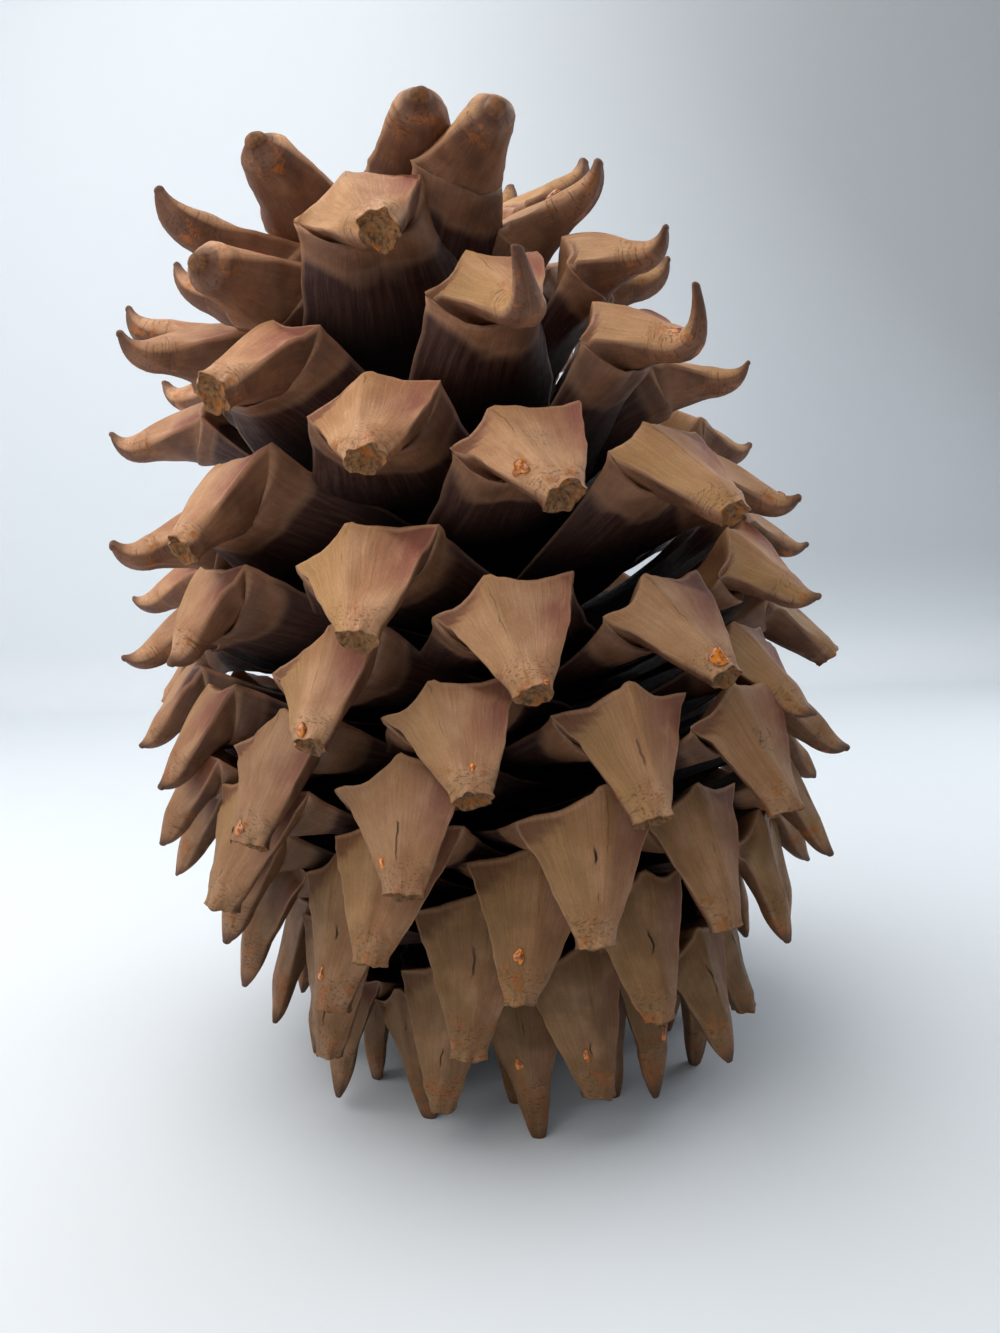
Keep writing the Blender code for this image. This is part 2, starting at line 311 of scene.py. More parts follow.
# The soft light of the room.
ROOM_COLOUR = (0.80, 0.88, 0.96, 1.0)
ROOM_STRENGTH = 0.18

# Area lights: place, aim, size, power and colour.
LIGHTS = {
    "top_panel": ((-0.27, -0.10, 0.75), (0.0, 0.0, 0.1), (1.0, 1.0), 7.6, (1.0, 0.97, 0.93)),
    "front_fill": ((-0.30, -0.80, 0.45), (0.0, 0.0, 0.05), (0.6, 0.5), 1.0, (1.0, 0.98, 0.95)),
    "right_fill": ((0.50, 0.25, 0.40), (0.05, 0.0, 0.0), (0.4, 0.5), 1.2, (0.92, 0.96, 1.0)),
    "left_fill": ((-0.65, -0.15, 0.25), (0.0, 0.0, 0.05), (0.5, 0.4), 0.8, (0.97, 0.98, 1.0)),
    "wall_wash": ((-0.5, 0.1, 0.8), (-0.45, WALL_DISTANCE, 0.25), (0.6, 0.3), 0.6, (0.95, 0.98, 1.0)),
}

# Every station's share as a column: -1 at the root, 0 at the crest, 1 at the claw's base and 2 at its end.
SHARES = np.concatenate([np.array(BLADE_STATIONS) - 1.0, FACE_STATIONS, 1.0 + np.array(CLAW_STATIONS)])
SHARES = SHARES[:, None]
# Every place round a station as a row, over the top from left to right and back below.
ROUND_PLACES = np.concatenate([
    -np.array(TOP_PLACES[::-1]), [0.0], TOP_PLACES, [1.0],
    UNDER_PLACES, [0.0], -np.array(UNDER_PLACES[::-1]), [-1.0],
])
TOP_COUNT = 2 * len(TOP_PLACES) + 2
IS_TOP = np.arange(len(ROUND_PLACES)) < TOP_COUNT
PLACES = ROUND_PLACES[None, :]
NEAR = np.abs(PLACES)
ROUND = np.sqrt(np.clip(1.0 - NEAR**2, 0.0, 1.0))
# A station and a place in the middle of the face's top.
FACE_ROW = 20
FACE_COLUMN = 11
# The angle of each place, seen along the scale.
TURNS = np.arctan2(np.where(IS_TOP, ROUND[0], -ROUND[0]), ROUND_PLACES)


def along(order, values):
    """The value at one scale order, between the marks."""
    return float(np.interp(order, ORDER_MARKS, values))


def axis_point(height):
    """The middle of the bent axis at a height."""
    bent = min(max(height - BEND_START, 0.0), BEND_END - BEND_START)
    straight = max(height - BEND_END, 0.0)
    shift = BEND_SLOPE * bent * bent / (2.0 * (BEND_END - BEND_START)) + TOP_SLOPE * straight
    return Vector((-shift, 0.0, height))


def ring_tilt(height):
    """The slope of the ring of scales at a height."""
    return min(max(RING_TILT_RATE * (height - BEND_START), 0.0), RING_TILT_MOST)


def worn_claw(azimuth, draw):
    """Whether a claw is worn: those that face the viewer are, and some of the others."""
    facing = abs((math.degrees(azimuth) + 180.0) % 360.0 - 180.0)
    return draw.random() < WORN_SHARE or facing < WORN_ARC_DEG


class Scale:
    """Where one scale grows, which way it faces and how large it is."""

    def __init__(self, order, draw):
        self.order = order
        drift = LOWER_DRIFT_DEG if order > 0 else UPPER_DRIFT_DEG
        azimuth = FIRST_AZIMUTH_DEG + order * DIVERGENCE_DEG + drift * order**2 / DRIFT_ORDERS
        azimuth += draw.normal() * AZIMUTH_SPREAD_DEG
        turn, lifted, self.hook, tilted = UNUSUAL.get(order, (0.0, 0.0, 0.0, 0.0))
        self.azimuth = math.radians(azimuth + turn)
        self.out = Vector((math.sin(self.azimuth), -math.cos(self.azimuth), 0.0))
        self.side = Vector((math.cos(self.azimuth), math.sin(self.azimuth), 0.0))
        size = 1.0 + SIZE_SPREAD * float(np.clip(draw.normal(), -SPREAD_MOST, SPREAD_MOST))
        height = along(order, TIP_HEIGHT)
        tilt = ring_tilt(height)
        self.tip = axis_point(height) + self.out * along(order, TIP_RADIUS)
        self.tip.z += tilt * (self.tip.x - axis_point(height).x)
        self.tip.z -= FRONT_LIFT * tilt / RING_TILT_MOST * self.tip.y
        self.tip.z += lifted
        self.root = axis_point(along(order, ROOT_HEIGHT))
        self.root.z += ROOT_TILT_SHARE * tilt * AXIS_RADIUS * self.out.x
        lift = SIDE_LIFT_DEG * tilt / RING_TILT_MOST * self.out.x
        angle = along(order, FACE_ANGLE_DEG) + lift + draw.normal() * ANGLE_SPREAD_DEG
        self.face_angle = math.radians(angle + tilted)
        roll = math.degrees(math.atan(tilt)) * -self.out.y + draw.normal() * ROLL_SPREAD_DEG
        self.roll = math.radians(roll)
        self.half_width = along(order, HALF_WIDTH) * size
        self.rise = along(order, CREST_RISE)
        self.depth = along(order, KEEL_DEPTH)
        self.face_length = along(order, FACE_LENGTH) * size
        self.worn = worn_claw(self.azimuth, draw) and order < STANDING_ORDER and not self.hook
        self.claw_half_width = along(order, CLAW_HALF_WIDTH) * (1.0 if self.worn else HOOKED_CLAW_WIDENING)
        self.up = Vector((0.0, 0.0, 1.0)) * math.cos(self.roll) - self.side * math.sin(self.roll)

    def path(self):
        """Centre points from the root to the claw tip: root, blade, crest, claw base, claw tip."""
        along_face = self.out * math.cos(self.face_angle) + self.up * math.sin(self.face_angle)
        crest = self.tip - along_face * self.face_length
        start = WORN_CLAW_START if self.worn else HOOKED_CLAW_START
        base = self.tip - along_face * self.face_length * (1.0 - start)
        root = self.root + self.out * AXIS_RADIUS * ROOT_SINK
        blade = root.lerp(crest, BLADE_PLACE) - self.up * BLADE_SAG * (crest - root).length
        tip = self.tip.copy()
        if self.worn:
            tip -= along_face * self.face_length * WORN_SHORTENING
        else:
            tip += self.up * max(self.hook, HOOK_RISE * math.cos(self.face_angle))
        return [root, blade, crest, base, tip]


def unit(rows):
    return rows / np.linalg.norm(rows, axis=-1, keepdims=True)


def bow(start, middle, end, shares):
    """Points of a quadratic curve whose control point is middle."""
    t = np.array(shares)[:, None]
    return (1 - t) ** 2 * start + 2 * t * (1 - t) * middle + t**2 * end


def window(values, start, end):
    """Values eased in a straight line from 0 at start to 1 at end."""
    return np.clip((values - start) / (end - start), 0.0, 1.0)


def hump(values, middle, reach):
    """A soft hump, 1 at the middle."""
    return np.exp(-(((values - middle) / reach) ** 2))


def station_frames(centres):
    """Smoothed flow directions and lengths at the centres, so that stations fan round the crest."""
    steps = np.diff(centres, axis=0)
    lengths = np.linalg.norm(steps, axis=1)
    reach = np.concatenate([[0.0], np.cumsum(lengths)])
    middles = (reach[:-1] + reach[1:]) / 2.0
    gaps = np.abs(reach[:, None] - middles[None, :])
    weights = np.clip(1.0 - gaps / TURN_REACH, 0.0, None) * lengths + LEAST_WEIGHT
    return unit(weights @ (steps / lengths[:, None])), reach


class Growth:
    """What is drawn at random for one scale."""

    def __init__(self, scale, draw):
        self.rounded = scale.worn and scale.order < ROUNDED_ORDER
        self.cut = scale.worn and not self.rounded
        claw = scale.claw_half_width
        self.claw_width = claw * draw.uniform(*CLAW_WIDTH_RANGE) * (1.0 if scale.worn else HOOK_WIDTH_SHARE)
        self.claw_depth = claw * draw.uniform(*CLAW_DEPTH_RANGE) * (1.0 if scale.worn else HOOK_DEPTH_SHARE)
        self.peak = scale.rise * draw.uniform(*PEAK_RANGE)
        self.ridge = draw.uniform(-RIDGE_SHIFT, RIDGE_SHIFT)
        hollow_sides = scale.worn and scale.order < FULL_SIDES_ORDER
        self.fullness = draw.uniform(*(HOLLOW_SIDES_RANGE if hollow_sides else FULL_SIDES_RANGE))
        self.phase = draw.uniform(0.0, 2.0 * math.pi, PHASE_COUNT)
        self.fold_side = 1.0 if draw.random() < RIGHT_FOLD_SHARE else -1.0
        self.skew = draw.uniform(*SKEW_RANGE)
        self.dip = draw.uniform(*DIP_RANGE)
        self.seed = draw.random()


class Line:
    """The centre line of one scale, with the directions and the length along it at each station."""

    def __init__(self, scale):
        root, blade, crest, base, tip = [np.array(point) for point in scale.path()]
        self.out = unit(base - crest)
        hook_share = WORN_BEND_SHARE if scale.worn else HOOK_BEND_SHARE
        hook = base + self.out * np.linalg.norm(tip - base) * hook_share
        inner = bow(root, 2.0 * blade - (root + crest) / 2.0, crest, BLADE_STATIONS)
        face = bow(crest, (crest + base) / 2.0, base, FACE_STATIONS)
        self.centres = np.concatenate([inner, face, bow(base, hook, tip, CLAW_STATIONS)])
        self.flow, reach = station_frames(self.centres)
        self.reach = reach - reach[len(inner)]
        side = np.array(scale.side)
        normal = unit(np.cross(self.flow, side))
        self.across = side * math.cos(scale.roll) + normal * math.sin(scale.roll)
        self.normal = normal * math.cos(scale.roll) - side * math.sin(scale.roll)


def claw_tapers(scale, growth):
    """How the claw narrows and thins along its stations."""
    t = np.array(CLAW_STATIONS)
    flare = window(t, 0.6, 1.0) ** 2
    if growth.rounded:
        taper = 1.0 - ROUNDED_NARROWING * t**1.5
    elif scale.worn:
        taper = 1.0 - BROKEN_NARROWING * t + 0.1 * flare
    else:
        taper = (1.0 - t**1.15) * (1.0 - HOOK_END_SHARE) + HOOK_END_SHARE
    thinning = 1.0 - 0.16 * t + 0.06 * flare if growth.cut else taper
    return taper, thinning


def section_sizes(scale, growth):
    """Half width, rise and depth at each station, as columns."""
    wide, deep, peak = scale.half_width, scale.depth, growth.peak
    claw_width, claw_depth = growth.claw_width, growth.claw_depth
    t_blade, t_face = np.array(BLADE_STATIONS), np.array(FACE_STATIONS)
    taper, thinning = claw_tapers(scale, growth)
    width_blade = wide * np.interp(t_blade, *BLADE_WIDENING)
    width_face = claw_width + (wide - claw_width) * (1.0 - t_face) ** growth.fullness
    width = [width_blade, width_face, claw_width * taper]
    rise_blade = np.interp(t_blade, (0.0, 0.5, 0.9, 1.0), (ROOT_RISE, BLADE_RISE, 0.45 * peak, peak))
    rise_face = peak + (claw_depth * CLAW_FLATNESS - peak) * t_face**1.5
    rise = [rise_blade, rise_face, claw_depth * CLAW_FLATNESS * thinning]
    marks = (0.0, 0.5, 0.75, 0.9, 1.0)
    depth_blade = np.interp(t_blade, marks, (BLADE_DEPTH, BLADE_DEPTH, 0.48 * deep, 0.86 * deep, deep))
    depth_face = deep + (claw_depth - deep) * np.minimum(1.0, t_face * 1.03) ** 1.1
    depth = [depth_blade, depth_face, claw_depth * thinning]
    return [np.concatenate(parts)[:, None] for parts in (width, rise, depth)]


def section_outline(beside):
    """Shares of the rise on the top and of the depth below, at each station and place."""
    is_face = np.clip(SHARES / 0.02 + 1.0, 0.0, 1.0)
    is_claw = window(SHARES, *CLAW_BLEND)
    roof = np.clip(1.0 - np.sqrt(beside**2 + 0.0009), 0.0, 1.0) ** 1.25 * 1.04
    top = (1.0 - NEAR**2) * (1.0 - is_face) + roof * is_face
    top = top * (1.0 - is_claw) + ROUND * is_claw
    low = (1.0 - NEAR**2.2) ** 0.85 * (1.0 - is_claw) + ROUND * is_claw
    return top, low


def waves(scale, growth, width, reach):
    """Soft swells, ribs, hollows and the worn ring, in metres above the plain outline."""
    phase = growth.phase
    across_mm = PLACES * width * MM_PER_M
    along_mm = reach[:, None] * MM_PER_M
    across_rate, along_rate = SWELL_RATES
    wave = np.sin(across_rate * across_mm + phase[0]) * np.sin(along_rate * along_mm + phase[1])
    across_rate, along_rate = FINE_SWELL_RATES
    finer = np.sin(across_rate * across_mm + phase[2] + 0.1 * along_mm)
    finer = finer * np.sin(along_rate * along_mm + phase[3])
    ribs = np.sin(RIB_RATE * across_mm + phase[4] + 0.5 * np.sin(0.2 * along_mm + phase[5]))
    swell = WAVE_HEIGHT * (wave + 0.6 * finer) + np.where(IS_TOP, TOP_RIB_HEIGHT, LOW_RIB_HEIGHT) * ribs
    swell = np.where(IS_TOP, 1.0, -1.0) * swell * np.clip(1.0 - NEAR**6, 0.0, 1.0)
    hollow = -HOLLOW_DEPTH * hump(NEAR, *HOLLOW_ACROSS) * hump(SHARES, *HOLLOW_ALONG)
    ring = WORN_RING_HEIGHT * scale.worn * hump(SHARES, *WORN_RING_ALONG)
    ring = ring * (0.5 + 0.5 * np.sin(2.1 * across_mm + phase[8]))
    return swell + np.where(IS_TOP, hollow + ring, 0.0)


def fold_mask(growth):
    """Where one upper corner of the face is folded down."""
    corner = FOLD_SLOPE * (PLACES * growth.fold_side - FOLD_START) - SHARES
    return np.clip(corner / FOLD_SOFTNESS + 0.5, 0.0, 1.0) * np.clip(SHARES / 0.3 + 1.0, 0.0, 1.0) ** 2


def edge_push(growth, beside):
    """How far the crest's edge is pushed outwards: askew, dipped on both sides of the ridge."""
    reach = hump(SHARES, 0.0, np.where(SHARES < 0.0, BLADE_EDGE_REACH, FACE_EDGE_REACH))
    dips = np.sin(math.pi * np.clip(beside, 0.0, 1.0)) ** 2
    push = -growth.skew * PLACES + growth.dip * dips - RIDGE_NOTCH * (beside < RIDGE_REACH)
    return push * reach * (1.0 - window(SHARES, *CLAW_BLEND))


def ragged_claw(growth):
    """Growth of the section towards a broken claw's end, as a share of its size."""
    ragged = 0.0
    for (height, rate), phase in zip(RAGGED_WAVES, (*growth.phase[9:11], 0.0)):
        ragged = ragged + height * np.sin(rate * TURNS + phase)
    most = 1.0 if growth.cut else UNBROKEN_RAGGED_SHARE
    return ragged[None, :] * window(SHARES, RAGGED_START, 2.0) * most


def claw_end(growth, end, flow):
    """Rings that close the claw: a shallow cup where it is broken, else a dome."""
    centre = end.mean(axis=0)
    dome = DOME_SHARE * np.linalg.norm(end - centre, axis=1).mean()
    rings = []
    for size, push in CAP_RINGS:
        swell = np.zeros(len(TURNS))
        if growth.cut:
            slow = np.sin(2.0 * TURNS + growth.phase[8]) * np.sin(5.0 * size + growth.phase[11])
            swell = CUP_SWELL * slow + CUP_RIPPLE * np.sin(7.0 * TURNS)
        else:
            push = dome * math.sqrt(max(0.0, 1.0 - size**2))
        rings.append(centre + (end - centre) * size + flow * (push + swell * size)[:, None])
    return np.array(rings)


def point_facts(scale, growth, fold):
    """What each point is, for the material."""
    extra = len(CAP_RINGS)
    share = np.concatenate([SHARES, np.full((extra, 1), 2.0)])
    shape = (len(share), len(ROUND_PLACES))
    broken = np.zeros(shape)
    broken[-extra:] = 1.0 if growth.cut else (0.5 if growth.rounded else 0.0)
    low = (scale.order - FIRST_ORDER) / (LAST_ORDER - FIRST_ORDER)
    return {
        "share": np.broadcast_to(share, shape),
        "across": np.broadcast_to(PLACES, shape),
        "top": np.broadcast_to(IS_TOP.astype(float)[None, :], shape),
        "seed": np.full(shape, growth.seed),
        "low": np.full(shape, low),
        "broken": broken,
        "hooked": np.full(shape, 0.0 if growth.cut else 1.0),
        "fold": np.concatenate([fold, np.zeros((extra, shape[1]))]),
        "ridge": np.full(shape, growth.ridge),
        "scar": np.full(shape, SCARS.get(scale.order, 0.0)),
    }


def grain_places(scale, growth, share, reach):
    """Places in millimetres across and along the scale, with its own third number."""
    reach = np.concatenate([reach, np.full(len(CAP_RINGS), reach[-1])])
    span = np.where(share < 1.0, scale.half_width, scale.half_width * 0.5)
    along_mm = np.broadcast_to(reach[:, None] * MM_PER_M, share.shape)
    own = np.full(share.shape, growth.seed * SEED_SPAN)
    return np.stack([PLACES * MM_PER_M * span, along_mm, own], axis=-1)


def fine_scale(scale, draw):
    """One scale as a grid of points (stations by places), and what each point is for the materials."""
    growth = Growth(scale, draw)
    line = Line(scale)
    width, rise, depth = section_sizes(scale, growth)
    beside = np.abs(PLACES - growth.ridge) / (1.0 - growth.ridge * np.sign(PLACES - growth.ridge))
    top, low = section_outline(beside)
    fold = fold_mask(growth)
    lift = np.where(IS_TOP, top * rise, -low * depth) + waves(scale, growth, width, line.reach)
    lift = lift - FOLD_DEPTH * fold * np.clip(NEAR - 0.3, 0.0, None)
    along_mm = line.reach[:, None] * MM_PER_M
    wobble = 1.0
    for (share, rate), phase in zip(EDGE_WOBBLE, growth.phase[6:8]):
        wobble = wobble + share * np.sin(rate * along_mm + phase)
    centres = line.centres[:, None, :]
    points = centres + line.across[:, None, :] * (PLACES * width * wobble)[:, :, None]
    points = points + line.normal[:, None, :] * lift[:, :, None]
    points = points + line.out * edge_push(growth, beside)[:, :, None]
    points = points + (points - centres) * ragged_claw(growth)[:, :, None]
    points = np.concatenate([points, claw_end(growth, points[-1], line.flow[-1])])
    facts = point_facts(scale, growth, fold)
    return points, facts, grain_places(scale, growth, facts["share"], line.reach)


def grid_faces(rows, columns, start):
    """Quads of a closed tube grid of points."""
    row, column = np.meshgrid(np.arange(rows - 1), np.arange(columns), indexing="ij")
    here = start + row * columns + column
    beside = start + row * columns + (column + 1) % columns
    return np.stack([here, here + columns, beside + columns, beside], axis=-1).reshape(-1, 4)


def build_piece(name, points, quads, ends, facts, grain):
    """A mesh piece from point rows, with its facts as point attributes."""
    mesh = bpy.data.meshes.new(name)
    mesh.from_pydata(points.tolist(), [], quads.tolist() + ends)
    for key, values in facts.items():
        mesh.attributes.new(key, "FLOAT", "POINT").data.foreach_set("value", values.astype(np.float32))
    layer = mesh.attributes.new("grain", "FLOAT_VECTOR", "POINT")
    layer.data.foreach_set("vector", grain.astype(np.float32).ravel())
    mesh.shade_smooth()
    mesh.validate()
    piece = bpy.data.objects.new(name, mesh)
    bpy.context.scene.collection.objects.link(piece)
    return piece


def dress(piece, material):
    piece.data.materials.append(material)
    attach(piece, "root")
    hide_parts("pine_cone")


def inside_box(points):
    """Points held inside the solid's box, so that the feet end flat on the ground."""
    low, high = np.array(cad_box[0]), np.array(cad_box[1])
    return np.clip(points, low, high)


def grow_group(scales, draw, grids):
    """The scales of one piece as points, faces, ends, facts and grain."""
    rows, quads, ends, grains, facts = [], [], [], [], {}
    start = 0
    for scale in scales:
        points, known, grain = fine_scale(scale, draw)
        grids[scale.order] = points
        count_rows, count_round = points.shape[:2]
        rows.append(points.reshape(-1, 3))
        grains.append(grain.reshape(-1, 3))
        for key, values in known.items():
            facts.setdefault(key, []).append(values.ravel())
        quads.append(grid_faces(count_rows, count_round, start))
        last_row = start + (count_rows - 1) * count_round
        ends.append(list(range(last_row + count_round - 1, last_row - 1, -1)))
        ends.append(list(range(start, start + count_round)))
        start += count_rows * count_round
    points = inside_box(np.concatenate(rows) + np.array(CENTRE_SHIFT))
    facts = {key: np.concatenate(values) for key, values in facts.items()}
    return points, np.concatenate(quads), ends, facts, np.concatenate(grains)


def grow_scales(material):
    """The scales in four pieces, from the tip to the base."""
    draw = np.random.default_rng(SEED)
    detail = np.random.default_rng(DETAIL_SEED)
    scales = [Scale(order, draw) for order in range(FIRST_ORDER, LAST_ORDER + 1)]
    grids = {}
    for name, (first, last) in GROUPS.items():
        group = [scale for scale in scales if first <= scale.order <= last]
        dress(build_piece(name, *grow_group(group, detail, grids)), material)
    return grids


def surface_spot(points, share, place):
    """The point of a scale's top nearest to a share and place, with its outward and flow directions."""
    row = min(int(np.argmin(np.abs(SHARES[:, 0] - share))), len(SHARES) - 2)
    column = int(np.argmin(np.abs(ROUND_PLACES[:TOP_COUNT] - place)))
    column = min(max(column, 1), TOP_COUNT - 2)
    flow = points[row + 1, column] - points[row - 1, column]
    side = points[row, column + 1] - points[row, column - 1]
    normal = unit(np.cross(side, flow))
    outwards = points[FACE_ROW, FACE_COLUMN] - points.reshape(-1, 3).mean(axis=0)
    return points[row, column], -normal if normal @ outwards < 0.0 else normal, unit(flow)


def add_drop(made, spot, normal, flow, radius, length, phase):
    side = np.cross(flow, normal)
    for vert in bmesh.ops.create_icosphere(made, subdivisions=3, radius=1.0)["verts"]:
        x, y, z = vert.co
        swell = 1.0
        for part, (height, rate), shift in zip(vert.co, DROP_SWELLS, phase):
            swell += height * math.sin(rate * part + shift)
        local = radius * swell * (side * x + flow * y * length + normal * z * DROP_FLATNESS)
        vert.co = Vector(inside_box(spot + normal * radius * DROP_STAND_OFF + local + np.array(CENTRE_SHIFT)))


def make_resin(grids, material):
    """Small lumps of resin that sit on the claws."""
    draw = np.random.default_rng(DETAIL_SEED + 1)
    made = bmesh.new()
    for order, share, place, radius, length in DROPS:
        spot, normal, flow = surface_spot(grids[order], share, place)
        add_drop(made, spot, normal, flow, radius, length, draw.uniform(0.0, 2.0 * math.pi, 3))
    mesh = bpy.data.meshes.new("resin_drops")
    made.to_mesh(mesh)
    made.free()
    mesh.shade_smooth()
    mesh.materials.append(material)
    piece = bpy.data.objects.new("resin_drops", mesh)
    bpy.context.scene.collection.objects.link(piece)
    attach(piece, "root")


def linear(red, green, blue):
    """A colour given as 0 to 255 display values, as linear values."""
    return tuple((part / 255.0) ** 2.2 for part in (red, green, blue)) + (1.0,)


class Nodes:
    """Short calls that add the nodes of one material."""

    def __init__(self, name):
        self.material = bpy.data.materials.new(name)
        self.material.use_nodes = True
        self.tree = self.material.node_tree
        self.shader = self.tree.nodes["Principled BSDF"]

    def join(self, value, socket):
        if isinstance(value, bpy.types.NodeSocket):
            self.tree.links.new(value, socket)
        else:
            socket.default_value = value

    def attribute(self, name, output="Fac"):
        node = self.tree.nodes.new("ShaderNodeAttribute")
        node.attribute_name = name
        return node.outputs[output]

    def maths(self, operation, first, second=0.0):
        node = self.tree.nodes.new("ShaderNodeMath")
        node.operation = operation
        self.join(first, node.inputs[0])
        self.join(second, node.inputs[1])
        return node.outputs[0]

    def times(self, first, second):
        return self.maths("MULTIPLY", first, second)

    def ramp(self, value, low, high, start=0.0, end=1.0):
        """Value eased from low..high to start..end."""
        node = self.tree.nodes.new("ShaderNodeMapRange")
        node.interpolation_type = "SMOOTHSTEP"
        self.join(value, node.inputs["Value"])
        for key, number in (("From Min", low), ("From Max", high), ("To Min", start), ("To Max", end)):
            node.inputs[key].default_value = number
        return node.outputs["Result"]

    def stretch(self, vector, scale):
        node = self.tree.nodes.new("ShaderNodeVectorMath")
        node.operation = "MULTIPLY"
        self.join(vector, node.inputs[0])
        node.inputs[1].default_value = scale
        return node.outputs["Vector"]

    def noise(self, vector, scale=1.0, detail=3.0, roughness=0.55, distortion=0.0):
        node = self.tree.nodes.new("ShaderNodeTexNoise")
        self.join(vector, node.inputs["Vector"])
        node.inputs["Scale"].default_value = scale
        node.inputs["Detail"].default_value = detail
        node.inputs["Roughness"].default_value = roughness
        node.inputs["Distortion"].default_value = distortion
        return node.outputs["Fac"]

    def mix(self, factor, first, second, blend="MIX"):
        node = self.tree.nodes.new("ShaderNodeMix")
        node.data_type = "RGBA"
        node.blend_type = blend
        self.join(factor, node.inputs[0])
        self.join(first, node.inputs[6])
        self.join(second, node.inputs[7])
        return node.outputs[2]

    def grey(self, value):
        """A grey colour from one value."""
        node = self.tree.nodes.new("ShaderNodeCombineColor")
        for socket in node.inputs[:3]:
            self.join(value, socket)
        return node.outputs[0]

    def bump(self, height, distance, strength):
        node = self.tree.nodes.new("ShaderNodeBump")
        node.inputs["Strength"].default_value = strength
        node.inputs["Distance"].default_value = distance
        self.join(height, node.inputs["Height"])
        return node.outputs["Normal"]


# Colours of the wood, the resin, the bark and the wall.
TAN = linear(172, 122, 86)
PALE_TAN = linear(196, 149, 112)
SALLOW = linear(168, 126, 80)
RUSSET = linear(142, 84, 68)
FOLD_RED = linear(112, 64, 50)
UMBER = linear(96, 62, 42)
# Underside colours: partly the wood's own browner colour, partly painted shade that makes it darker.
UNDER_PALE = linear(138, 96, 70)
UNDER_DARK = linear(98, 67, 51)
PLUM = linear(56, 32, 27)
BLADE_GREY = linear(82, 56, 46)
BOUNDARY = linear(178, 140, 112)
BROKEN_WOOD = linear(150, 110, 72)
CUP_DARK = linear(84, 56, 38)
CRACK = linear(34, 20, 14)
SCAR = linear(78, 46, 46)
RESIN_STAIN = linear(170, 98, 40)
HOOK_TIP = linear(88, 55, 40)
# Near black painted shade for the blades deep inside the cone, towards the root.
ROOT_PAINTED_SHADE = linear(26, 15, 12)
OLD_BROWN = linear(122, 86, 48)
AMBER = linear(218, 126, 30)
DARK_AMBER = linear(136, 66, 18)
# Bark colours: partly the axis's own dark brown, darkened to near black as painted shade deep inside the
# cone.
BARK_DARK = linear(26, 15, 11)
BARK_BROWN = linear(58, 36, 25)
WALL_WHITE = linear(226, 232, 238)


